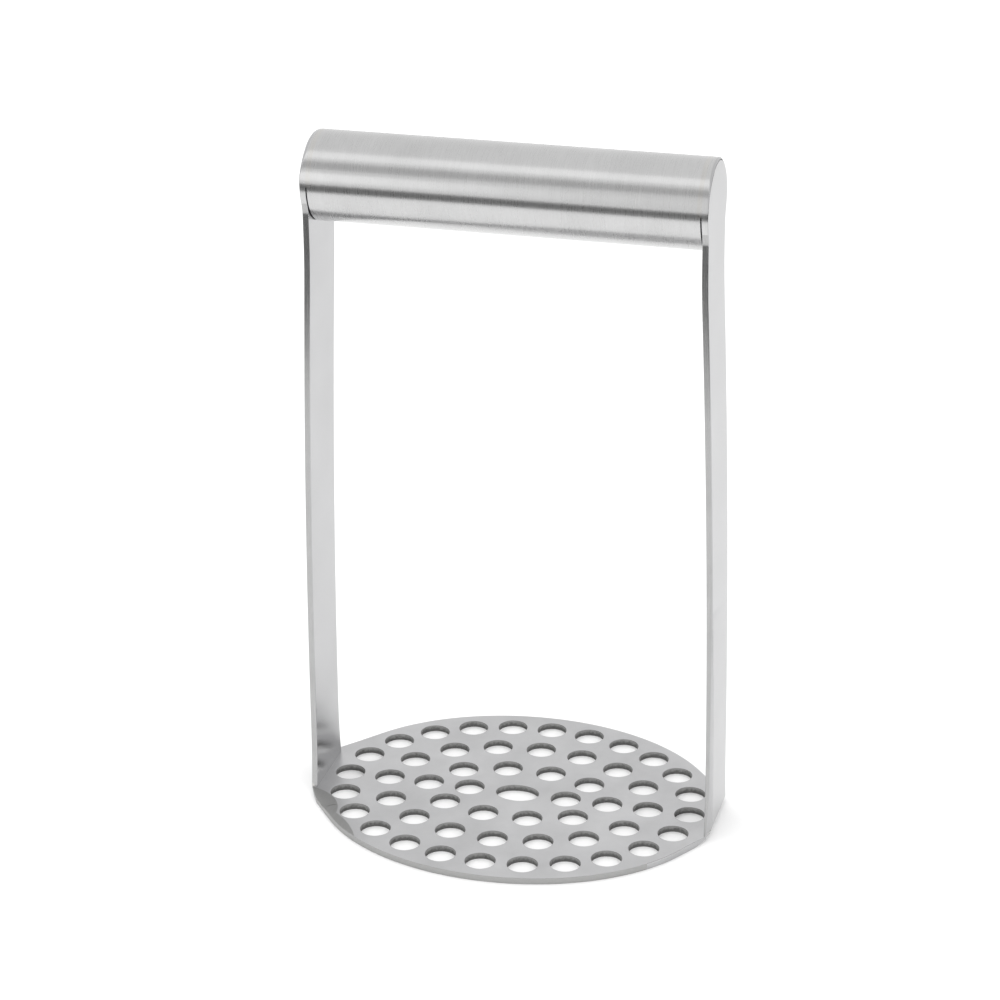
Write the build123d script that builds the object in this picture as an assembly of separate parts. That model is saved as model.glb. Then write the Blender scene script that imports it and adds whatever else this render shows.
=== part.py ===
from build123d import *
import math
import os

# A potato masher made all of stainless steel: a flat oval plate full of round holes,
# two flat arms that stand on its ends, and a round tube across their tops as handle.
# The arms are welded to the plate and to the tube, and the welds are ground flush.
# Sizes are in millimetres. X runs along the handle, Y from front to back, Z up.
# The origin is the middle of the plate's underside, on which the masher stands.

# Mashing plate: an oval whose ends stand out a little as short flats under the arms, with
# round corners. Each end and the arm's foot on it are ground round underneath together.
plate_length = 120.0
plate_width = 96.0
plate_thickness = 2.0
end_stand_out = 1.0
end_flat_length = 19.2
end_corner_radius = 9.0
plate_edge_bevel = 0.3
ground_end_radius = 3.0

# Holes: rings as shares of the oval's length and width, with a pitch along each ring
hole_diameter = 9.0
outer_ring_shares = (0.875, 0.84)
outer_ring_pitch = 12.1
middle_ring_shares = (0.666, 0.571)
inner_ring_shares = (0.46, 0.294)
inside_ring_pitch = 13.2
pair_spacing_share = 0.248
centre_hole_length = 12.9
centre_hole_width = 9.3

# Handle tube
overall_height = 200.0
tube_diameter = 25.0
tube_wall = 1.5
seam_gap = 0.3

# Arms
arm_thickness = 1.8
arm_lean = 3.6
arm_neck_height = 15.0
arm_neck_drop = 1.0
arm_foot_width = 20.2
arm_flare_spread = 1.2
arm_flare_height = 18.0
head_shoulder = 1.7
head_shoulder_radius = 9.0
arm_edge_bevel = 0.5

# Welds
head_weld_width = 1.3
head_weld_depth = 1.2
head_weld_arc = 180.0
foot_weld_leg = 1.3

# Overrun of a cutting shape past the piece that it cuts
overrun = 5.0

oval_length = plate_length - 2 * end_stand_out
flare_width = arm_foot_width + 2 * arm_flare_spread
foot_x = plate_length / 2
tube_radius = tube_diameter / 2
axis_height = overall_height - tube_radius
head_x = foot_x - arm_lean
head_inner_x = head_x - arm_thickness
neck_top = overall_height - tube_diameter - arm_neck_drop
lean_height = neck_top - arm_neck_height - plate_thickness
lean_angle = 2 * math.atan(arm_lean / (neck_top - plate_thickness))
lean_radius = lean_height / math.sin(lean_angle)
neck_radius = arm_neck_height / math.sin(lean_angle)
tube_axis = Axis((0, 0, axis_height), (-1, 0, 0))


def plate_outline():
    """The oval with a short flat at each end, joined by straight flanks that touch the oval."""
    half_length = oval_length / 2
    half_width = plate_width / 2
    corner_y = end_flat_length / 2
    reach = math.hypot(foot_x / half_length, corner_y / half_width)
    bearing = math.atan2(corner_y / half_width, foot_x / half_length)
    touch = bearing + math.acos(1 / reach)
    touch_x = half_length * math.cos(touch)
    touch_y = half_width * math.sin(touch)
    corner = Line((touch_x, touch_y), (foot_x, corner_y)) + Line((foot_x, corner_y), (foot_x, 0))
    quarter = corner + Line((foot_x, 0), (0, 0)) + Line((0, 0), (touch_x, touch_y))
    flank = make_face(quarter.edges())
    flanks = flank + mirror(flank, about=Plane.XZ)
    flanks += mirror(flanks, about=Plane.YZ)
    outline = Ellipse(half_length, half_width) + flanks
    corners = outline.vertices().filter_by(lambda corner: abs(corner.X) > half_length)
    return fillet(corners, end_corner_radius)


def ring_places(shares, pitch):
    """An even number of places at even steps along an oval, the first of them on the X axis."""
    oval = Edge.make_ellipse(oval_length * shares[0] / 2, plate_width * shares[1] / 2)
    count = 2 * round(oval.length / pitch / 2)
    return [oval.position_at(step / count) for step in range(count)]


def hole_pattern():
    """Three rings of round holes, two more holes on the long axis and an oval hole in the middle."""
    places = ring_places(outer_ring_shares, outer_ring_pitch)
    places += ring_places(middle_ring_shares, inside_ring_pitch)
    places += ring_places(inner_ring_shares, inside_ring_pitch)
    pair_x = oval_length * pair_spacing_share / 2
    places += [Vector(pair_x, 0), Vector(-pair_x, 0)]
    holes = Sketch() + [Pos(place.X, place.Y) * Circle(hole_diameter / 2) for place in places]
    return holes + Ellipse(centre_hole_length / 2, centre_hole_width / 2)


def ground_shape(height):
    """The plate's outline up to a height, with the ends round underneath as the grinder left them."""
    end_section = Pos(0, height / 2) * Rectangle(plate_length, height)
    end_section = fillet(end_section.vertices().group_by(Axis.Y)[0], ground_end_radius)
    return extrude(plate_outline(), height) & extrude(Plane.XZ * end_section, plate_width, both=True)


def mashing_plate():
    """Blanked and punched sheet with its edges broken and its ends ground."""
    plate = ground_shape(overall_height) & extrude(Rectangle(plate_length, plate_width), plate_thickness)
    rim = plate.faces().sort_by(Axis.Z)[-1].outer_wire().edges()
    rim = [edge for edge in rim if abs(edge.center().X) < foot_x - ground_end_radius]
    plate = chamfer(rim, plate_edge_bevel)
    return plate - extrude(hole_pattern(), plate_thickness)


def arm_line(depth):
    """The arm seen from the front, as the line at a depth under its outer face.

    It leaves the plate square to it, leans in on a long arc and straightens at its neck.
    """
    turn = math.degrees(lean_angle)
    foot = (foot_x - depth, plate_thickness)
    lean = JernArc(foot, (0, 1), lean_radius - depth, turn)
    neck = JernArc(lean @ 1, lean % 1, neck_radius + depth, -turn)
    top = Line(neck @ 1, (head_x - depth, overall_height))
    return [lean, neck, top]


def arm_outline():
    """The arm seen from the side: a flared foot, a slim strap and a round head of the tube's size."""
    flare_top = plate_thickness + arm_flare_height
    side = Line((tube_radius - head_shoulder, axis_height), (arm_foot_width / 2, flare_top))
    flare = TangentArc(side @ 1, (flare_width / 2, plate_thickness), tangent=side % 1)
    half = side + flare + Line(flare @ 1, (0, plate_thickness))
    half += Line((0, plate_thickness), (0, axis_height)) + Line((0, axis_height), side @ 0)
    strap = make_face(half.edges())
    strap += mirror(strap, about=Plane.YZ)
    outline = strap + Pos(0, axis_height) * Circle(tube_radius)
    shoulders = [v for v in outline.vertices() if v.Y > axis_height - tube_radius]
    return fillet(shoulders, head_shoulder_radius)


def whole_arm():
    """The right arm before its foot is bevelled for the weld, with its outer edges broken.

    Its foot is ground flush with the end of the plate.
    """
    outer = arm_line(0)
    inner = arm_line(arm_thickness)
    foot = Line(inner[0] @ 0, outer[0] @ 0)
    top = Line(outer[-1] @ 1, inner[-1] @ 1)
    side_view = make_face([*outer, top, *inner, foot])
    arm = extrude(Plane.XZ * side_view, tube_diameter, both=True)
    arm &= extrude(Plane.YZ * arm_outline(), plate_length)
    outer_faces = arm.faces().filter_by(lambda face: face.normal_at().X > math.cos(math.pi / 4))
    outer_edges = outer_faces.edges().filter_by(Axis.Y, reverse=True)
    return chamfer(outer_edges, arm_edge_bevel) & ground_shape(overall_height)


def foot_groove():
    """The bevel along the foot's outer edge that the foot weld fills."""
    low = plate_thickness
    side = foot_x + overrun
    top = low + foot_weld_leg + overrun
    section = make_face(Polyline((foot_x - foot_weld_leg, low), (side, low), (side, top), close=True))
    return extrude(Plane.XZ * section, plate_width, both=True)


def head_weld():
    """The bead between tube and head, over the top of the tube only: the lower seam stays open."""
    root = tube_radius - head_weld_depth
    surface_x = head_inner_x - head_weld_width
    tube_end = head_inner_x - seam_gap
    deep_side = [(head_inner_x, -root), (tube_end, -root)]
    flush_side = [(surface_x, -tube_radius), (head_inner_x, -tube_radius)]
    section = Pos(0, 0, axis_height) * make_face(Polyline(*deep_side, *flush_side, close=True))
    bead = revolve(section, tube_axis, head_weld_arc)
    return bead.rotate(tube_axis, (180 - head_weld_arc) / 2)


def handle_tube(weld):
    """Plain tube between the heads, with the ends melted back where the beads lie."""
    length = 2 * (head_inner_x - seam_gap)
    tube = Cylinder(tube_radius, length) - Cylinder(tube_radius - tube_wall, length)
    tube = Pos(0, 0, axis_height) * Rot(Y=90) * tube
    return tube - weld - mirror(weld, about=Plane.YZ)


def build():
    arm = whole_arm()
    weld = head_weld()
    pieces = {
        "mashing_plate": mashing_plate(),
        "handle_tube": handle_tube(weld),
        "right_arm": arm - foot_groove(),
        "right_foot_weld": arm & foot_groove(),
        "right_head_weld": weld,
    }
    for name in ("arm", "foot_weld", "head_weld"):
        pieces["left_" + name] = mirror(pieces["right_" + name], about=Plane.YZ)
    return pieces


os.makedirs("parts", exist_ok=True)
for name, piece in build().items():
    piece.label = name
    export_step(piece, os.path.join("parts", name + ".step"))
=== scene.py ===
import math

import bmesh
import bpy
from mathutils import Matrix, Vector


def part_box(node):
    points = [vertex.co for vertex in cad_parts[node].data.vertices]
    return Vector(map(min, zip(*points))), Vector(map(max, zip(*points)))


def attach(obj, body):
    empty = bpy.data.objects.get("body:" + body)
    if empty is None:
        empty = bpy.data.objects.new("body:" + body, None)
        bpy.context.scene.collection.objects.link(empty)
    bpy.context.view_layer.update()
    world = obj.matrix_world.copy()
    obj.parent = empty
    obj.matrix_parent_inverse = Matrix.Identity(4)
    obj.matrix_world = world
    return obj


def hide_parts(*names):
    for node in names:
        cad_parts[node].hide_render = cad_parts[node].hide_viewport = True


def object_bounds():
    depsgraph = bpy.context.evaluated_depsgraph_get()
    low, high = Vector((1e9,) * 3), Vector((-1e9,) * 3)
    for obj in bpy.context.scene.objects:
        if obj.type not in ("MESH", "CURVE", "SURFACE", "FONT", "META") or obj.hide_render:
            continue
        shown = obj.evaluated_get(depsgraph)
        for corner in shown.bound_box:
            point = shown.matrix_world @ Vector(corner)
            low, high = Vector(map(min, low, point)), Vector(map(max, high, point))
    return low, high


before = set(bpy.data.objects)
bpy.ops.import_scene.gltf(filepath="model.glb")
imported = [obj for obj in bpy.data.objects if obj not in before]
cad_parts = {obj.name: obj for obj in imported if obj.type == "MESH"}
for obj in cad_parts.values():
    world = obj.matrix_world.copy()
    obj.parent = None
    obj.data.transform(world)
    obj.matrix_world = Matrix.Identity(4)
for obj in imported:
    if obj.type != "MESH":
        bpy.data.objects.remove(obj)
cad_low, cad_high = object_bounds()

# The mashing plate is stainless steel sheet, blanked to an oval with a short flat at each
# end and punched with rings of round holes. Tumbling broke its edges, and its ends and
# flanks were ground when the welds of the arms were dressed.
mm = 0.001
plate_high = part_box("mashing_plate")[1]
plate_top = plate_high.z
foot_x = cad_high.x
plate_half_width = plate_high.y
end_stand_out = 1.0 * mm
outline_steps = 720
right_end_radius = 4.2 * mm
left_end_radius = 3.0 * mm
end_radius_cuts = 8
rim_radius = 0.25 * mm
oval_half_length = foot_x - end_stand_out
blank_length = 2.2 * foot_x
blank_width = 2.2 * plate_half_width

hole_mouth_radius = 4.5 * mm
hole_edge_radius = 0.08 * mm
hole_radius = hole_mouth_radius - hole_edge_radius
hole_points = 48
punch_length = 4 * plate_top
centre_hole_length = 12.9 * mm
centre_hole_width = 9.3 * mm
pair_spacing = 29.26 * mm

# Length and width of the oval on which each ring's holes lie, and how many they are
rings = [
    (103.25 * mm, 80.64 * mm, 24),
    (78.59 * mm, 54.82 * mm, 16),
    (54.28 * mm, 28.22 * mm, 10),
]

# Side in X, side in Y, radius of the round corner and how far its middle is off the X axis
end_corners = [
    (1, -1, 9.0 * mm, 6.6 * mm),
    (-1, -1, 1.5 * mm, 10.6 * mm),
    (-1, -1, 20.0 * mm, 6.0 * mm),
    (1, 1, 1.5 * mm, 12.9 * mm),
    (-1, 1, 1.5 * mm, 12.5 * mm),
]

# Middle and radius of each shallow dip that the disc left in the left front flank
dips = [
    (Vector((-62.0, -25.5, 0)) * mm, 14.05 * mm),
    (Vector((-66.0, -48.6, 0)) * mm, 30.0 * mm),
]
dip_tilt = math.radians(6.5)
dip_depth = 0.5 * mm
dip_points = 360

# Points nearer than these are cut or merged as one, and edges this steep count as corners
cut_tolerance = 0.0001 * mm
merge_distance = 0.001 * mm
corner_angle = math.radians(60)


def open_piece(piece):
    """Selects one piece alone and opens it in edit mode."""
    bpy.ops.object.select_all(action="DESELECT")
    bpy.context.view_layer.objects.active = piece
    piece.select_set(True)
    bpy.ops.object.mode_set(mode="EDIT")


def pick(piece, kind, test):
    """Selects, in edit mode, only the verts, edges or faces that pass the test."""
    bpy.ops.mesh.select_mode(type={"verts": "VERT", "edges": "EDGE", "faces": "FACE"}[kind])
    bpy.ops.mesh.select_all(action="DESELECT")
    shape = bmesh.from_edit_mesh(piece.data)
    for item in getattr(shape, kind):
        if test(item):
            item.select_set(True)
    bmesh.update_edit_mesh(piece.data)


def cut_away(point, normal):
    """Cuts off, in edit mode, what lies beyond a plane, and closes the cut."""
    bpy.ops.mesh.select_mode(type="VERT")
    bpy.ops.mesh.select_all(action="SELECT")
    bpy.ops.mesh.bisect(
        plane_co=point, plane_no=normal, use_fill=True, clear_outer=True, threshold=cut_tolerance)


def is_corner(edge):
    """True for an edge between two faces that meet at a steep angle."""
    return len(edge.link_faces) == 2 and edge.calc_face_angle() > corner_angle


def middle(edge):
    """The middle of an edge."""
    return (edge.verts[0].co + edge.verts[1].co) / 2


def use_modifier(piece, kind, **settings):
    """Gives a piece a modifier and applies it."""
    bpy.context.view_layer.objects.active = piece
    made = piece.modifiers.new(kind.lower(), kind)
    for name, value in settings.items():
        setattr(made, name, value)
    bpy.ops.object.modifier_apply(modifier=made.name)


def ring_places(length, width, count):
    """Places at even steps along an oval, the first of them on the X axis."""
    fine_steps = 7200
    slack = mm / fine_steps
    turns = [math.tau * step / fine_steps for step in range(fine_steps)]
    line = [Vector((length / 2 * math.cos(turn), width / 2 * math.sin(turn), 0)) for turn in turns]
    travelled = [0.0]
    for here, there in zip(line, line[1:] + line[:1]):
        travelled.append(travelled[-1] + (there - here).length)
    places = []
    for point, way in zip(line, travelled):
        if way >= travelled[-1] * len(places) / count - slack:
            places.append(point)
    return places[:count]


def outline_plane(turn):
    """The plane that touches the plate's outline in one direction: a point and the direction.

    The outline is what a string round the oval and the round corners of its ends would follow.
    """
    outward = Vector((math.cos(turn), math.sin(turn), 0))
    oval_reach = math.hypot(oval_half_length * outward.x, plate_half_width * outward.y)
    touch = Vector((oval_half_length ** 2 * outward.x, plate_half_width ** 2 * outward.y, 0))
    spots = [touch / oval_reach]
    for side_x, side_y, radius, off_axis in end_corners:
        spots.append(Vector((side_x * (foot_x - radius), side_y * off_axis, 0)) + radius * outward)
    return max(spots, key=outward.dot), outward


def grind_end(side, radius):
    """Grinds, in edit mode, one end round underneath."""
    centre = Vector((side * (foot_x - radius), 0, radius))
    for step in range(end_radius_cuts):
        turn = math.pi / 2 * (step + 0.5) / end_radius_cuts
        outward = Vector((side * math.cos(turn), 0, -math.sin(turn)))
        cut_away(centre + outward * radius, outward)


bpy.ops.object.select_all(action="DESELECT")
bpy.ops.mesh.primitive_cube_add(
    size=1, location=(0, 0, plate_top / 2), scale=(blank_length, blank_width, plate_top))
bpy.ops.object.transform_apply(location=True, rotation=True, scale=True)
oval_plate = bpy.context.object
oval_plate.name = "oval_plate"
bpy.ops.object.mode_set(mode="EDIT")
for step in range(outline_steps):
    cut_away(*outline_plane(math.tau * step / outline_steps))
grind_end(1, right_end_radius)
grind_end(-1, left_end_radius)
bpy.ops.object.mode_set(mode="OBJECT")

bpy.ops.object.select_all(action="DESELECT")
bpy.ops.mesh.primitive_cylinder_add(vertices=hole_points, radius=hole_radius, depth=punch_length)
centre_punch = bpy.context.object
punches = [centre_punch]
pair = [Vector((pair_spacing / 2, 0, 0)), Vector((-pair_spacing / 2, 0, 0))]
for place in [spot for ring in rings for spot in ring_places(*ring)] + pair:
    punch = centre_punch.copy()
    punch.data = centre_punch.data.copy()
    punch.data.transform(Matrix.Translation(place))
    bpy.context.collection.objects.link(punch)
    punches.append(punch)
open_piece(centre_punch)
bpy.ops.mesh.select_all(action="SELECT")
bpy.ops.transform.resize(value=(
    centre_hole_length / (2 * hole_radius), centre_hole_width / (2 * hole_radius), 1))
bpy.ops.object.mode_set(mode="OBJECT")
for punch in punches:
    punch.select_set(True)
bpy.ops.object.join()
use_modifier(oval_plate, "BOOLEAN", object=centre_punch, operation="DIFFERENCE", solver="EXACT")
bpy.data.objects.remove(centre_punch)

# The left front flank was dressed with a disc after welding, which left two shallow dips
dip_spread = dip_depth / math.tan(dip_tilt)
for dip_centre, dip_radius in dips:
    bpy.ops.object.select_all(action="DESELECT")
    bpy.ops.mesh.primitive_cone_add(
        vertices=dip_points, radius1=dip_radius - dip_spread, radius2=dip_radius + dip_spread,
        depth=2 * dip_depth, location=dip_centre + Vector((0, 0, plate_top)))
    disc = bpy.context.object
    use_modifier(oval_plate, "BOOLEAN", object=disc, operation="DIFFERENCE", solver="EXACT")
    bpy.data.objects.remove(disc)


def is_outline(edge):
    """True for an edge of the plate's outline, outside the outermost holes."""
    spot = middle(edge)
    margin = 1.6 * mm
    return math.hypot(spot.x / (oval_half_length - margin), spot.y / (plate_half_width - margin)) > 1


def is_rim(edge):
    """True for the outline's edges that tumbling broke, away from the ends."""
    return is_corner(edge) and is_outline(edge) and abs(middle(edge).x) < foot_x - right_end_radius


open_piece(oval_plate)
pick(oval_plate, "edges", lambda edge: is_corner(edge) and not is_outline(edge))
bpy.ops.mesh.bevel(offset=hole_edge_radius, segments=3, profile=0.5, affect="EDGES")
pick(oval_plate, "edges", is_rim)
bpy.ops.mesh.bevel(offset=rim_radius, segments=4, profile=0.5, affect="EDGES")
bpy.ops.object.mode_set(mode="OBJECT")


def linear(colour):
    """An sRGB hex colour as linear red, green, blue and alpha."""
    parts = [int(colour[place:place + 2], 16) / 255 for place in (1, 3, 5)]
    return [part / 12.92 if part <= 0.04045 else ((part + 0.055) / 1.055) ** 2.4 for part in parts] + [1]


def add_node(tree, kind, inputs=None, **settings):
    """Adds a node with its settings, and sets or links its inputs by name or number."""
    made = tree.nodes.new(kind)
    for name, value in settings.items():
        setattr(made, name, value)
    for name, value in (inputs or {}).items():
        if isinstance(value, bpy.types.NodeSocket):
            tree.links.new(value, made.inputs[name])
        else:
            made.inputs[name].default_value = value
    return made


def new_steel(name):
    """A new metal: its material, its node tree, its shader and the coordinates on the piece."""
    made = bpy.data.materials.new(name)
    made.use_nodes = True
    shader = made.node_tree.nodes["Principled BSDF"]
    shader.inputs["Metallic"].default_value = 1
    place = add_node(made.node_tree, "ShaderNodeTexCoord").outputs["Object"]
    return made, made.node_tree, shader, place


# Tumbled stainless steel: stones rolled over the punched sheet leave an even satin with
# soft clouds and short random scratches, which blur what the plate mirrors
plate_light = "#C9C9CA"
plate_dark = "#B9B9BA"
plate_cloud_size = 22 * mm
plate_grain_size = 0.5 * mm
plate_grain_depth = 0.0016 * mm
plate_least_rough = 0.3
plate_most_rough = 0.4

# Nearly all values of a noise lie between these two
noise_low = 0.3
noise_high = 0.7
tumbled_steel, tree, shader, place = new_steel("tumbled_stainless_steel")
clouds = add_node(tree, "ShaderNodeTexNoise", {
    "Vector": place, "Scale": 1 / plate_cloud_size, "Detail": 4, "Roughness": 0.6})
grain = add_node(tree, "ShaderNodeTexNoise", {
    "Vector": place, "Scale": 1 / plate_grain_size, "Detail": 3, "Roughness": 0.65})
cloud_share = add_node(tree, "ShaderNodeMapRange", {
    "Value": clouds.outputs[0], "From Min": noise_low, "From Max": noise_high})
base = add_node(tree, "ShaderNodeMix", {
    "Factor": cloud_share.outputs[0], "A": linear(plate_dark), "B": linear(plate_light)},
    data_type="RGBA")
tree.links.new(base.outputs["Result"], shader.inputs["Base Color"])
dullness = add_node(tree, "ShaderNodeMapRange", {
    "Value": grain.outputs[0], "From Min": noise_low, "From Max": noise_high,
    "To Min": plate_least_rough, "To Max": plate_most_rough})
tree.links.new(dullness.outputs[0], shader.inputs["Roughness"])
relief = add_node(tree, "ShaderNodeBump", {
    "Height": grain.outputs[0], "Distance": plate_grain_depth, "Strength": 1})
tree.links.new(relief.outputs[0], shader.inputs["Normal"])

# Punched steel: the wall of a punched hole is sheared smooth for about its upper third and
# torn rough below. Both colours are darker than the plate as painted shade inside the holes,
# and the torn colour below is darker still, partly for the tear and partly as painted shade
# deeper in the hole. The border between the two is ragged: it lies where the height and a
# share of the tear's reach add up to the middle of the blend.
shaded_smooth_wall = "#A0A09F"
shaded_torn_wall = "#6E6E6D"
wall_roughness = 0.5
tear_size = 0.9 * mm
tear_depth = 0.05 * mm
tear_reach = 1.8 * mm
tear_blend_start = 1.6 * mm
tear_blend_end = 2.5 * mm
shaded_punched_steel, tree, shader, place = new_steel("punched_steel_with_painted_shade")
height = add_node(tree, "ShaderNodeSeparateXYZ", {0: place})
tear = add_node(tree, "ShaderNodeTexNoise", {"Vector": place, "Scale": 1 / tear_size, "Detail": 3})
ragged = add_node(tree, "ShaderNodeMath", {
    0: tear.outputs[0], 1: tear_reach, 2: height.outputs["Z"]}, operation="MULTIPLY_ADD")
torn_share = add_node(tree, "ShaderNodeMapRange", {
    "Value": ragged.outputs[0], "From Min": tear_blend_start, "From Max": tear_blend_end})
base = add_node(tree, "ShaderNodeMix", {
    "Factor": torn_share.outputs[0], "A": linear(shaded_torn_wall), "B": linear(shaded_smooth_wall)}, data_type="RGBA")
tree.links.new(base.outputs["Result"], shader.inputs["Base Color"])
shader.inputs["Roughness"].default_value = wall_roughness
relief = add_node(tree, "ShaderNodeBump", {
    "Height": tear.outputs[0], "Distance": tear_depth, "Strength": 1})
tree.links.new(relief.outputs[0], shader.inputs["Normal"])

# Disc-ground steel: the grinding disc left coarser and duller strokes on the flanks and in
# the dips. Its darker colour is painted shade, standing in for the darker reflections of the
# tilted dips and of the outline's upright walls.
shaded_disc_light = "#B1B1B0"
shaded_disc_dark = "#9E9E9D"
disc_turn = math.radians(31)
disc_scratch_depth = 0.002 * mm
disc_roughness = 0.42

# Width of one stroke, and that width as a share of the stroke's length
disc_stroke = 0.25 * mm
disc_stroke_share = 0.05
shaded_ground_steel, tree, shader, place = new_steel("disc_ground_steel_painted_shade")
turned = add_node(tree, "ShaderNodeMapping", {
    "Vector": place, "Rotation": (0, 0, disc_turn),
    "Scale": (1 / disc_stroke, disc_stroke_share / disc_stroke, 1 / disc_stroke)})
scratches = add_node(tree, "ShaderNodeTexNoise", {
    "Vector": turned.outputs[0], "Scale": 1, "Detail": 3, "Roughness": 0.6})
base = add_node(tree, "ShaderNodeMix", {
    "Factor": scratches.outputs[0], "A": linear(shaded_disc_dark), "B": linear(shaded_disc_light)}, data_type="RGBA")
tree.links.new(base.outputs["Result"], shader.inputs["Base Color"])
shader.inputs["Roughness"].default_value = disc_roughness
relief = add_node(tree, "ShaderNodeBump", {
    "Height": scratches.outputs[0], "Distance": disc_scratch_depth, "Strength": 1})
tree.links.new(relief.outputs[0], shader.inputs["Normal"])


def lay_brush_map(piece):
    """Lays a map of each face, in metres, whose first axis runs across the brush strokes.

    On the flat sides that is Y, and on edges and round the tube it is X.
    """
    layer = piece.data.uv_layers.new(name="brush")
    for face in piece.data.polygons:
        flat = abs(face.normal.x) > math.cos(math.pi / 4)
        upright = abs(face.normal.y) > abs(face.normal.z)
        for corner in face.loop_indices:
            spot = piece.data.vertices[piece.data.loops[corner].vertex_index].co
            first = spot.y if flat else spot.x
            second = spot.z if flat or upright else spot.y
            layer.data[corner].uv = (first, second)


smooth_angle = math.radians(40)


def finish_piece(piece, nodes, materials):
    """Turns the faces outwards, shades the piece and hands it to the frame."""
    open_piece(piece)
    bpy.ops.mesh.select_mode(type="VERT")
    bpy.ops.mesh.select_all(action="SELECT")
    bpy.ops.mesh.remove_doubles(threshold=merge_distance)
    bpy.ops.mesh.normals_make_consistent(inside=False)
    bpy.ops.object.mode_set(mode="OBJECT")
    bpy.ops.object.shade_smooth_by_angle(angle=smooth_angle)
    for material in materials:
        piece.data.materials.append(material)
    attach(piece, "root")
    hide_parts(*nodes)


# The Z of a face's normal is under these on a hole's wall and on the plate's ground flank
wall_slant = 0.3
flank_slant = 0.6


def in_hole(face):
    """True for a face of a hole's wall."""
    spot = face.center
    margin = 1.0 * mm
    inside = math.hypot(spot.x / (oval_half_length - margin), spot.y / (plate_half_width - margin)) < 1
    return inside and abs(face.normal.z) < wall_slant


finish_piece(oval_plate, ["mashing_plate"], [tumbled_steel, shaded_punched_steel, shaded_ground_steel])


def in_dip(spot):
    """True for a place on the plate that lies inside a dip."""
    return any((spot - centre).to_2d().length < radius for centre, radius in dips)


def is_dip_edge(edge):
    """True for an edge where a dip's slight slope begins."""
    return len(edge.link_faces) == 2 and dip_tilt / 2 < edge.calc_face_angle() < 1.5 * dip_tilt


# The outline's walls and the dips' slopes take the disc-ground steel, darkened as painted shade
for face in oval_plate.data.polygons:
    on_slope = in_dip(face.center) and 0 < face.normal.z < math.cos(dip_tilt / 2)
    on_flank = abs(face.normal.z) < flank_slant
    face.material_index = 1 if in_hole(face) else 2 if on_slope or on_flank else 0
open_piece(oval_plate)
pick(oval_plate, "edges", is_dip_edge)
bpy.ops.mesh.mark_sharp()
bpy.ops.object.mode_set(mode="OBJECT")
use_modifier(oval_plate, "WEIGHTED_NORMAL", keep_sharp=True)

# The two arms are stainless steel straps, cut to a flared foot and a round head of the
# tube's size, bent to a long slight lean and brushed along their length. The heads close
# the tube, and the feet stand on the plate's ends.
tube_low, tube_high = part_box("handle_tube")
arm_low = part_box("right_arm")[0]
tube_radius = (tube_high.z - tube_low.z) / 2
axis_height = (tube_high.z + tube_low.z) / 2
arm_thickness = 1.8 * mm
head_x = arm_low.x + arm_thickness
neck_drop = 1.0 * mm
neck_height = 15.0 * mm
neck_top = axis_height - tube_radius - neck_drop
lean_height = neck_top - neck_height - plate_top
lean_turn = 2 * math.atan((foot_x - head_x) / (neck_top - plate_top))
lean_radius = lean_height / math.sin(lean_turn)
neck_radius = neck_height / math.sin(lean_turn)
strap_top_half_width = 10.8 * mm
strap_foot_half_width = 10.1 * mm
flare_spread = 1.2 * mm
flare_height = 18.0 * mm
flare_radius = (flare_height ** 2 + flare_spread ** 2) / (2 * flare_spread)
shoulder_radius = 9.0 * mm
head_points = 120
outer_edge_radius = 0.3 * mm
inner_edge_radius = 0.15 * mm
weld_leg = 1.3 * mm

# The rim of each head is rounder over its top: fully so up to the first turn from the very
# top, and no more past the second
right_crown_radius = 0.9 * mm
left_crown_radius = 1.75 * mm
crown_full_turn = math.radians(35)
crown_end_turn = math.radians(75)

# Directions, in degrees from the X axis, in which the right foot's front corner is ground
corner_directions = range(-32, 0, 4)


def arm_x(height):
    """How far out the arm's outer face is at a height."""
    if height < plate_top + lean_height:
        return foot_x - lean_radius + math.sqrt(lean_radius ** 2 - (height - plate_top) ** 2)
    below_neck = max(neck_top - height, 0)
    return head_x + neck_radius - math.sqrt(neck_radius ** 2 - below_neck ** 2)


def strap_half_width(height):
    """Half the strap's width at a height, with its flare at the foot."""
    flare_top = plate_top + flare_height
    share = max(height - flare_top, 0) / (axis_height - flare_top)
    width = strap_foot_half_width + share * (strap_top_half_width - strap_foot_half_width)
    below = max(flare_top - height, 0)
    return width + flare_radius - math.sqrt(flare_radius ** 2 - below ** 2)


# A hollow fillet joins the round head to each side of the strap
fillet_y = strap_top_half_width + shoulder_radius
fillet_drop = math.sqrt((tube_radius + shoulder_radius) ** 2 - fillet_y ** 2)
fillet_z = axis_height - fillet_drop
shoulder_z = axis_height - fillet_drop * tube_radius / (tube_radius + shoulder_radius)
shoulder_heights = [fillet_z + (shoulder_z - fillet_z) * share for share in (0.75, 0.5, 0.25, 0)]
strap_steps = 30
strap_end = plate_top + flare_height
strap_heights = [
    fillet_z + (strap_end - fillet_z) * step / strap_steps for step in range(1, strap_steps + 1)]
flare_steps = 8
flare_heights = [
    strap_end + (plate_top - strap_end) * step / flare_steps for step in range(1, flare_steps + 1)]

# Edges and faces are picked by their place within these margins, and a face belongs to one of
# the strap's two broad sides where its normal's X is over the slant
pick_margin = 0.01 * mm
foot_margin = 0.1 * mm
broad_slant = 0.7


def arm_half_width(height):
    """Half the arm's width at a height below its head."""
    if height > fillet_z:
        return fillet_y - math.sqrt(shoulder_radius ** 2 - (height - fillet_z) ** 2)
    return strap_half_width(height)


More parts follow.
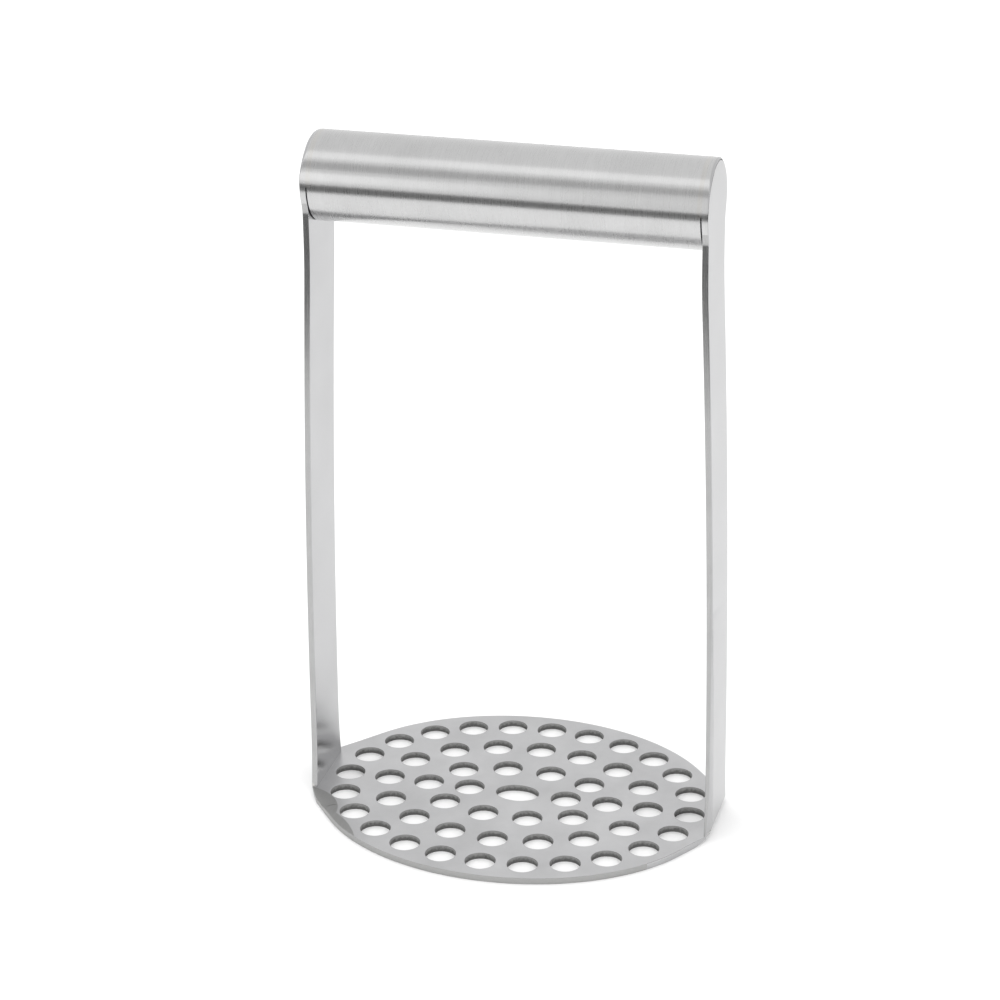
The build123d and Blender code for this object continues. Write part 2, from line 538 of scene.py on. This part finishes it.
bpy.ops.object.select_all(action="DESELECT")
bpy.ops.mesh.primitive_circle_add(
    vertices=head_points, radius=tube_radius, fill_type="NGON",
    location=(head_x, 0, axis_height), rotation=(0, math.pi / 2, 0))
bpy.ops.object.transform_apply(location=True, rotation=True, scale=True)
right_strap = bpy.context.object
right_strap.name = "right_strap"
bpy.ops.object.mode_set(mode="EDIT")
cut_away((0, 0, shoulder_z), (0, 0, -1))
pick(right_strap, "edges", lambda edge: abs(middle(edge).z - shoulder_z) < pick_margin)
x = head_x
z = shoulder_z
width = tube_radius * fillet_y / (tube_radius + shoulder_radius)
for height in shoulder_heights + strap_heights + flare_heights:
    step = (arm_x(height) - x, 0, height - z)
    bpy.ops.mesh.extrude_region_move(TRANSFORM_OT_translate={"value": step})
    x = arm_x(height)
    z = height
    narrower = arm_half_width(height) / width
    bpy.ops.transform.resize(value=(1, narrower, 1), center_override=(x, 0, z))
    width = arm_half_width(height)
bpy.ops.mesh.select_all(action="SELECT")
bpy.ops.mesh.normals_make_consistent(inside=False)
bpy.ops.object.mode_set(mode="OBJECT")
facing = sum(face.normal.x * face.area for face in right_strap.data.polygons)
use_modifier(right_strap, "SOLIDIFY", thickness=arm_thickness, offset=-1 if facing > 0 else 1)


def is_side_edge(edge, side):
    """True for an edge round the strap's outer side, 1, or inner side, -1, but for its foot."""
    on_side = any(side * face.normal.x > broad_slant for face in edge.link_faces)
    above_foot = max(vert.co.z for vert in edge.verts) > plate_top + foot_margin
    return is_corner(edge) and on_side and above_foot


def is_outer_edge(edge):
    """True for an edge round the arm's outer face, but for its foot."""
    return is_side_edge(edge, 1)


def is_inner_edge(edge):
    """True for an edge round the arm's inner face, but for its foot and its welded top."""
    return is_side_edge(edge, -1) and middle(edge).z < axis_height


bpy.ops.object.mode_set(mode="EDIT")
bpy.ops.mesh.select_all(action="SELECT")
bpy.ops.mesh.normals_make_consistent(inside=False)
pick(right_strap, "edges", is_inner_edge)
bpy.ops.mesh.bevel(offset=inner_edge_radius, segments=2, profile=0.5, affect="EDGES")
bpy.ops.object.mode_set(mode="OBJECT")


def copy_of(piece, name):
    """A copy of a piece with its own mesh."""
    made = piece.copy()
    made.data = piece.data.copy()
    made.name = name
    bpy.context.collection.objects.link(made)
    return made


def cut_piece(piece, point, normal):
    """Cuts off what lies beyond a plane from one piece."""
    open_piece(piece)
    cut_away(point, normal)
    bpy.ops.object.mode_set(mode="OBJECT")


def break_edges(piece, crown_radius):
    """Breaks a strap's outer edges all round, rounder over the top of its head."""
    open_piece(piece)
    pick(piece, "edges", is_outer_edge)
    shape = bmesh.from_edit_mesh(piece.data)
    share = shape.edges.layers.float.new("bevel_weight_edge")
    for edge in shape.edges:
        if edge.select:
            spot = middle(edge)
            turn = abs(math.atan2(spot.y, spot.z - axis_height))
            fade = min(max((crown_end_turn - turn) / (crown_end_turn - crown_full_turn), 0), 1)
            growth = (crown_radius - outer_edge_radius) * fade * fade * (3 - 2 * fade)
            edge[share] = (outer_edge_radius + growth) / crown_radius
    bmesh.update_edit_mesh(piece.data)
    bpy.ops.object.mode_set(mode="OBJECT")
    use_modifier(
        piece, "BEVEL", limit_method="WEIGHT", width=crown_radius, segments=6, use_clamp_overlap=False)


def mirrored(piece, name):
    """A copy of a piece with its own mesh, turned into its mirror image from right to left."""
    made = copy_of(piece, name)
    made.data.transform(Matrix.Scale(-1, 4, (1, 0, 0)))
    made.data.flip_normals()
    return made


# The belt rounded the left head more than the right one. Below, the right strap's front corner
# is ground flush with the plate's round corner, and both feet are ground round underneath
mirror_strap = copy_of(right_strap, "mirror_strap")
break_edges(right_strap, right_crown_radius)
break_edges(mirror_strap, left_crown_radius)
for strap, ground_radius in ((right_strap, right_end_radius), (mirror_strap, left_end_radius)):
    open_piece(strap)
    if strap is right_strap:
        for direction in corner_directions:
            cut_away(*outline_plane(math.radians(direction)))
    grind_end(1, ground_radius)
    bpy.ops.object.mode_set(mode="OBJECT")

# The foot's outer edge is bevelled, and the bead of the foot weld fills the bevel
groove_root = Vector((foot_x - weld_leg, 0, plate_top))
groove_normal = Vector((1, 0, -1)).normalized()
right_foot_bead = copy_of(right_strap, "right_foot_bead")
mirror_bead = copy_of(mirror_strap, "mirror_bead")
for strap, bead in ((right_strap, right_foot_bead), (mirror_strap, mirror_bead)):
    cut_piece(strap, groove_root, groove_normal)
    cut_piece(bead, groove_root, -groove_normal)
left_strap = mirrored(mirror_strap, "left_strap")
left_foot_bead = mirrored(mirror_bead, "left_foot_bead")
bpy.data.objects.remove(mirror_strap)
bpy.data.objects.remove(mirror_bead)

# Nearly all sums of two noises lie between these two, and strokes differ this much in roughness
sum_low = 0.7
sum_high = 1.3
smoother_stroke = 0.02
rougher_stroke = 0.025


def brushed_steel(name, light, dark, stroke, roughness, stretch, depth, cloud_size):
    """Brushed stainless steel: fine strokes one way, which stretch reflections across them.

    The stroke is the size of one brush mark along X, Y and Z.
    """
    made, tree, shader, place = new_steel(name)
    along = add_node(tree, "ShaderNodeMapping", {
        "Vector": place, "Scale": [1 / size for size in stroke]})
    strokes = add_node(tree, "ShaderNodeTexNoise", {
        "Vector": along.outputs[0], "Scale": 1, "Detail": 4, "Roughness": 0.7})
    clouds = add_node(tree, "ShaderNodeTexNoise", {
        "Vector": place, "Scale": 1 / cloud_size, "Detail": 4, "Roughness": 0.6})
    both = add_node(tree, "ShaderNodeMath", {
        0: strokes.outputs[0], 1: clouds.outputs[0]}, operation="ADD")
    share = add_node(tree, "ShaderNodeMapRange", {
        "Value": both.outputs[0], "From Min": sum_low, "From Max": sum_high})
    base = add_node(tree, "ShaderNodeMix", {
        "Factor": share.outputs[0], "A": linear(dark), "B": linear(light)}, data_type="RGBA")
    tree.links.new(base.outputs["Result"], shader.inputs["Base Color"])
    dullness = add_node(tree, "ShaderNodeMapRange", {
        "Value": strokes.outputs[0], "From Min": noise_low, "From Max": noise_high,
        "To Min": roughness - smoother_stroke, "To Max": roughness + rougher_stroke})
    tree.links.new(dullness.outputs[0], shader.inputs["Roughness"])
    shader.inputs["Anisotropic"].default_value = stretch
    across = add_node(tree, "ShaderNodeTangent", direction_type="UV_MAP", uv_map="brush")
    tree.links.new(across.outputs[0], shader.inputs["Tangent"])
    relief = add_node(tree, "ShaderNodeBump", {
        "Height": strokes.outputs[0], "Distance": depth, "Strength": 1})
    tree.links.new(relief.outputs[0], shader.inputs["Normal"])
    return made


# Stainless steel brushed along the arm with a fine belt: smooth satin whose strokes hardly show
arm_steel = brushed_steel(
    "long_brushed_stainless_steel", light="#B9B9BA", dark="#B0B0B1", stroke=(0.35 * mm, 0.35 * mm, 14 * mm),
    roughness=0.21, stretch=0.8, depth=0.001 * mm, cloud_size=18 * mm)

# The cut edges of the strap, dressed with a coarser belt, which leaves them a little darker
edge_steel = brushed_steel(
    "dressed_edge_stainless_steel", light="#B3B3B3", dark="#A6A6A6", stroke=(0.35 * mm, 0.35 * mm, 10 * mm),
    roughness=0.26, stretch=0.7, depth=0.0015 * mm, cloud_size=9 * mm)

# Stainless steel brushed round the tube on a belt, heads and all: bands of light run along it
handle_steel = brushed_steel(
    "round_brushed_stainless_steel", light="#C8C8C8", dark="#BDBDBD", stroke=(0.4 * mm, 8 * mm, 8 * mm),
    roughness=0.28, stretch=0.8, depth=0.0013 * mm, cloud_size=12 * mm)

# A face shows the finish of the strap's broad sides where its normal's X is over this
finish_slant = 0.3
for piece, node_name in ((right_strap, "right_arm"), (left_strap, "left_arm")):
    finish_piece(piece, [node_name], [arm_steel, handle_steel, edge_steel])
    for face in piece.data.polygons:
        on_head = face.center.z > shoulder_z
        face.material_index = 0 if abs(face.normal.x) > finish_slant else 1 if on_head else 2
    use_modifier(piece, "WEIGHTED_NORMAL", keep_sharp=True)
    lay_brush_map(piece)

# The ends of the plate were ground together with the arms' feet, the right one far along its
# rim, but not where a face is nearly level
right_dressing = 14.0 * mm
level_slant = 0.9
oval_plate.data.materials.append(arm_steel)
for face in oval_plate.data.polygons:
    on_end = face.center.x > foot_x - right_dressing or face.center.x < left_end_radius - foot_x
    slants = abs(face.normal.z) < level_slant and abs(face.normal.x) > finish_slant
    if on_end and slants and not in_hole(face):
        face.material_index = len(oval_plate.data.materials) - 1
lay_brush_map(oval_plate)

# The handle is a plain stainless steel tube, as thick as the arms' heads and cut to fit
# between them with a hair's gap. It is welded to the heads over its top half only, so the
# seam below stays open as a fine line.
tube_end = tube_high.x
tube_wall = 1.5 * mm
tube_sides = 160
bead_width = 1.3 * mm
bead_depth = 1.2 * mm
tube_edge_radius = 0.12 * mm
head_inner_x = arm_low.x

# An edge no deeper than this lies on the tube's outer surface
tube_skin = 0.1 * mm
bpy.ops.object.select_all(action="DESELECT")
bpy.ops.mesh.primitive_cylinder_add(
    vertices=tube_sides, radius=tube_radius, depth=2 * tube_end, end_fill_type="NOTHING",
    location=(0, 0, axis_height), rotation=(0, math.pi / 2, 0))
bpy.ops.object.transform_apply(location=True, rotation=True, scale=True)
grip_tube = bpy.context.object
grip_tube.name = "grip_tube"
use_modifier(grip_tube, "SOLIDIFY", thickness=tube_wall, offset=-1)


def half_ring(name, section):
    """A half ring over the top of the tube, spun from its section in X and radius."""
    bpy.ops.object.select_all(action="DESELECT")
    bpy.ops.mesh.primitive_circle_add(
        vertices=len(section), radius=tube_radius, fill_type="NGON", location=(0, 0, axis_height))
    bpy.ops.object.transform_apply(location=True, rotation=True, scale=True)
    made = bpy.context.object
    made.name = name
    starts = [vert.co.copy() for vert in made.data.vertices]
    bpy.ops.object.mode_set(mode="EDIT")
    for start, (x, radius) in zip(starts, section):
        pick(made, "verts", lambda vert: (vert.co - start).length < merge_distance)
        bpy.ops.transform.translate(value=Vector((x, -radius, axis_height)) - start)
    bpy.ops.mesh.select_all(action="SELECT")
    bpy.ops.mesh.spin(
        steps=tube_sides // 2, angle=math.pi, center=(0, 0, axis_height), axis=(1, 0, 0))
    bpy.ops.mesh.select_all(action="SELECT")
    bpy.ops.mesh.normals_make_consistent(inside=False)
    bpy.ops.object.mode_set(mode="OBJECT")
    return made


bead_root = tube_radius - bead_depth
bead_section = [
    (head_inner_x, bead_root),
    (tube_end, bead_root),
    (head_inner_x - bead_width, tube_radius),
    (head_inner_x, tube_radius),
]
slant = (head_inner_x - bead_width - tube_end) / bead_depth
groove_section = [
    (head_inner_x + bead_width, bead_root),
    (tube_end, bead_root),
    (tube_end + 2 * bead_depth * slant, bead_root + 2 * bead_depth),
    (head_inner_x + bead_width, bead_root + 2 * bead_depth),
]
groove = half_ring("groove", groove_section)
left_groove = mirrored(groove, "left_groove")
for cutter in (groove, left_groove):
    use_modifier(grip_tube, "BOOLEAN", object=cutter, operation="DIFFERENCE", solver="EXACT")
    bpy.data.objects.remove(cutter)


def is_open_end(edge):
    """True for the tube's outer edge beside the open seam."""
    spot = middle(edge)
    radius = math.hypot(spot.y, spot.z - axis_height)
    at_end = abs(abs(spot.x) - tube_end) < pick_margin
    return is_corner(edge) and at_end and radius > tube_radius - tube_skin and spot.z < axis_height


open_piece(grip_tube)
pick(grip_tube, "edges", is_open_end)
bpy.ops.mesh.bevel(offset=tube_edge_radius, segments=2, profile=0.5, affect="EDGES")
bpy.ops.object.mode_set(mode="OBJECT")
finish_piece(grip_tube, ["handle_tube"], [handle_steel])
use_modifier(grip_tube, "WEIGHTED_NORMAL", keep_sharp=True)
lay_brush_map(grip_tube)

# The welds are stainless steel beads in the bevelled grooves at the feet and round the top
# of the tube's ends. They are ground flush and blended in, so they show only as a slightly
# warmer tone with smaller clouds in it.
right_head_bead = half_ring("right_head_bead", bead_section)
left_head_bead = mirrored(right_head_bead, "left_head_bead")
weld_steel = brushed_steel(
    "ground_weld_stainless_steel", light="#C8C7C5", dark="#BDBCBA", stroke=(0.4 * mm, 8 * mm, 8 * mm),
    roughness=0.28, stretch=0.8, depth=0.0013 * mm, cloud_size=6 * mm)
beads = (
    (right_foot_bead, "right_foot_weld"),
    (left_foot_bead, "left_foot_weld"),
    (right_head_bead, "right_head_weld"),
    (left_head_bead, "left_head_weld"),
)
for piece, node_name in beads:
    finish_piece(piece, [node_name], [weld_steel])
    use_modifier(piece, "WEIGHTED_NORMAL", keep_sharp=True)
    lay_brush_map(piece)

# The floor is a plain pale sheet, lit until it is nearly white, which keeps the soft shadow
# under the plate
floor_size = 8.0
floor_colour = "#FAFAFA"
bpy.ops.object.select_all(action="DESELECT")
bpy.ops.mesh.primitive_plane_add(size=floor_size)
floor = bpy.context.object
floor.name = "floor"
matt_white = bpy.data.materials.new("matt_white_floor")
matt_white.use_nodes = True
shader = matt_white.node_tree.nodes["Principled BSDF"]
shader.inputs["Roughness"].default_value = 1
shader.inputs["Specular IOR Level"].default_value = 0
shader.inputs["Base Color"].default_value = linear(floor_colour)
floor.data.materials.append(matt_white)

# Beyond the edge of the white sheet a dark ring, and above the camera a grey flag, glow in
# even colours that only the steel mirrors: painted reflections of a darker studio, which give
# the darker bands along the tube.
sheet_centre = Vector((0, 0.25, 0.0005))
sheet_radius = 0.63
dark_radius = 1.6
ring_points = 128
dark_reflection_grey = "#707070"
flag_grey = "#CCCCCC"
flag_width = 2.4
flag_height = 0.34


def reflected_only(piece, name, colour):
    """Makes a stage piece glow in one even colour: a painted reflection that shows in reflections and
    nowhere else.
    """
    made = bpy.data.materials.new(name)
    made.use_nodes = True
    tree = made.node_tree
    tree.nodes.clear()
    glow = add_node(tree, "ShaderNodeEmission", {"Color": linear(colour), "Strength": 1})
    add_node(tree, "ShaderNodeOutputMaterial", {"Surface": glow.outputs[0]})
    piece.data.materials.append(made)
    piece.visible_camera = False
    piece.visible_diffuse = False
    piece.visible_shadow = False


bpy.ops.object.select_all(action="DESELECT")
bpy.ops.mesh.primitive_circle_add(
    vertices=ring_points, radius=sheet_radius, fill_type="NOTHING", location=sheet_centre)
dark_surround = bpy.context.object
dark_surround.name = "dark_surround"
bpy.ops.object.mode_set(mode="EDIT")
bpy.ops.mesh.select_all(action="SELECT")
bpy.ops.mesh.extrude_region_move(TRANSFORM_OT_translate={"value": (0, 0, 0)})
bpy.ops.transform.resize(value=[dark_radius / sheet_radius] * 2 + [1], center_override=sheet_centre)
bpy.ops.object.mode_set(mode="OBJECT")
reflected_only(dark_surround, "painted_dark_reflection", dark_reflection_grey)

handle_centre = Vector((0, 0, axis_height))


def aimed(elevation, distance, sideways):
    """A place in front of the handle, and the turn that faces the handle from there.

    The elevation is in degrees, and sideways is a share of the distance, to the right.
    """
    steepness = math.radians(elevation)
    away = Vector((0, -math.cos(steepness), math.sin(steepness)))
    spot = handle_centre + distance * (away + Vector((sideways, 0, 0)))
    return spot, away.to_track_quat("Z", "Y").to_euler()


flag_place, flag_turn = aimed(elevation=41, distance=1.1, sideways=-0.25)
bpy.ops.object.select_all(action="DESELECT")
bpy.ops.mesh.primitive_plane_add(size=1, location=flag_place, rotation=flag_turn)
grey_flag = bpy.context.object
grey_flag.name = "grey_flag"
grey_flag.scale = (flag_width, flag_height, 1)
reflected_only(grey_flag, "painted_grey_reflection", flag_grey)


# A wide softbox hangs high in front, and a small one low on the left, which shows only as a
# bright streak in the steel
def softbox(name, elevation, distance, sideways, width, height, power):
    """A soft rectangular lamp that faces the handle."""
    lamp = bpy.data.lights.new(name, "AREA")
    lamp.shape = "RECTANGLE"
    lamp.size = width
    lamp.size_y = height
    lamp.energy = power
    made = bpy.data.objects.new(name, lamp)
    made.location, made.rotation_euler = aimed(elevation, distance, sideways)
    made.visible_camera = False
    bpy.context.collection.objects.link(made)
    return made


softbox(
    "high_softbox", elevation=68, distance=1.0, sideways=-0.25, width=2.4, height=0.34, power=1.0)
front_softbox = softbox(
    "front_softbox", elevation=11, distance=0.28, sideways=-0.86, width=0.3, height=0.106, power=0.065)
front_softbox.visible_diffuse = False

# The world is plain white to the eye and in the steel, and a little brighter as light
world_light = 1.3
world_white = "#FFFFFF"
world = bpy.data.worlds.new("white_studio")
bpy.context.scene.world = world
world.use_nodes = True
tree = world.node_tree
rays = add_node(tree, "ShaderNodeLightPath")
seen = add_node(tree, "ShaderNodeMath", {
    0: rays.outputs["Is Camera Ray"], 1: rays.outputs["Is Glossy Ray"]}, operation="MAXIMUM")
shown = add_node(tree, "ShaderNodeMath", {
    0: seen.outputs[0], 1: rays.outputs["Is Transmission Ray"]}, operation="MAXIMUM")
level = add_node(tree, "ShaderNodeMapRange", {
    "Value": shown.outputs[0], "To Min": world_light, "To Max": 1})
tree.nodes["Background"].inputs["Color"].default_value = linear(world_white)
tree.links.new(level.outputs[0], tree.nodes["Background"].inputs["Strength"])

# The camera stands in front, a little to the right and above, with a long lens on a full
# frame 36 mm wide
camera_azimuth = math.radians(15.751)
camera_elevation = math.radians(23.659)
camera_roll = math.radians(-0.612)
camera_distance = 884.3 * mm
image_width = 1000
focal_pixels = 3007
sensor_width = 36
nearest_seen = 0.01
aim_right = -5.15 * mm
aim_up = 86.08 * mm
back = Vector((
    math.sin(camera_azimuth) * math.cos(camera_elevation),
    -math.cos(camera_azimuth) * math.cos(camera_elevation),
    math.sin(camera_elevation)))
level_right = Vector((math.cos(camera_azimuth), math.sin(camera_azimuth), 0))
level_up = back.cross(level_right)
right = math.cos(camera_roll) * level_right + math.sin(camera_roll) * level_up
up = back.cross(right)
aim = right * aim_right + up * aim_up + Vector((0, 0, plate_top))
camera_data = bpy.data.cameras.new("camera")
camera_data.sensor_width = sensor_width
camera_data.lens = focal_pixels / image_width * sensor_width
camera_data.clip_start = nearest_seen
camera = bpy.data.objects.new("camera", camera_data)
bpy.context.collection.objects.link(camera)
turn = Matrix((right, up, back)).transposed().to_4x4()
camera.matrix_world = Matrix.Translation(aim + back * camera_distance) @ turn
bpy.context.scene.camera = camera
bpy.context.scene.view_settings.view_transform = "Standard"
